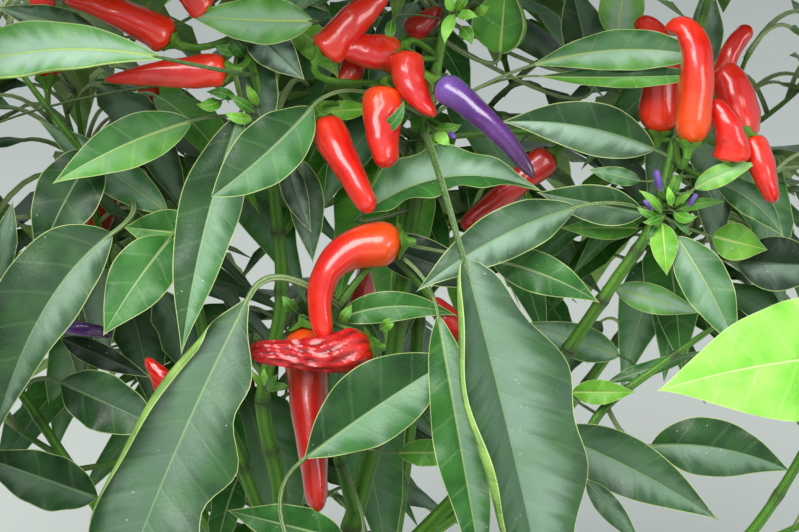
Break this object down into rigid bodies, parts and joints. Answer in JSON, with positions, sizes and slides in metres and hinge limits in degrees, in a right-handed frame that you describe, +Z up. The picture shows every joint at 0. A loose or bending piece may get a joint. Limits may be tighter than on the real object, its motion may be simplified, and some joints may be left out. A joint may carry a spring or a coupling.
{
  "type": "chilli pepper plant",
  "caption": "Bushy chilli pepper plant in fruit, rooted in the ground, with a short forked stem, hanging pointed leaves and red and purple pods.",
  "frame": {"origin": "middle of the flat cut under the main stem, at ground level", "axes": "+Z up from the level ground, +X to the right and +Y away from the viewer, as the picture shows the plant"},
  "size_m": [0.5202, 0.4682, 0.5983],
  "materials": {
    "stem": "ridged green stem with dark purple joints",
    "foliage": "satin dark green leaves, glossy red and purple pods"
  },
  "bodies": {
    "root": {"main_stem": "stem", "bough_centre": "stem", "bough_left": "stem", "bough_right": "stem", "bough_middle": "stem", "bough_mid_left": "stem", "bough_low_left": "stem", "bough_low_right": "stem", "bough_front_right": "stem", "bough_front_left": "stem", "bough_low_front": "stem", "bough_low_back": "stem", "bough_back": "stem", "bough_back_left": "stem", "bough_back_right": "stem", "mass_centre": "foliage", "mass_left": "foliage", "mass_right": "foliage", "mass_middle": "foliage", "mass_mid_left": "foliage", "mass_low_left": "foliage", "mass_low_right": "foliage", "mass_front_right": "foliage", "mass_front_left": "foliage", "mass_low_front": "foliage", "mass_low_back": "foliage", "mass_back": "foliage", "mass_back_left": "foliage", "mass_back_right": "foliage"}
  },
  "joints": []
}
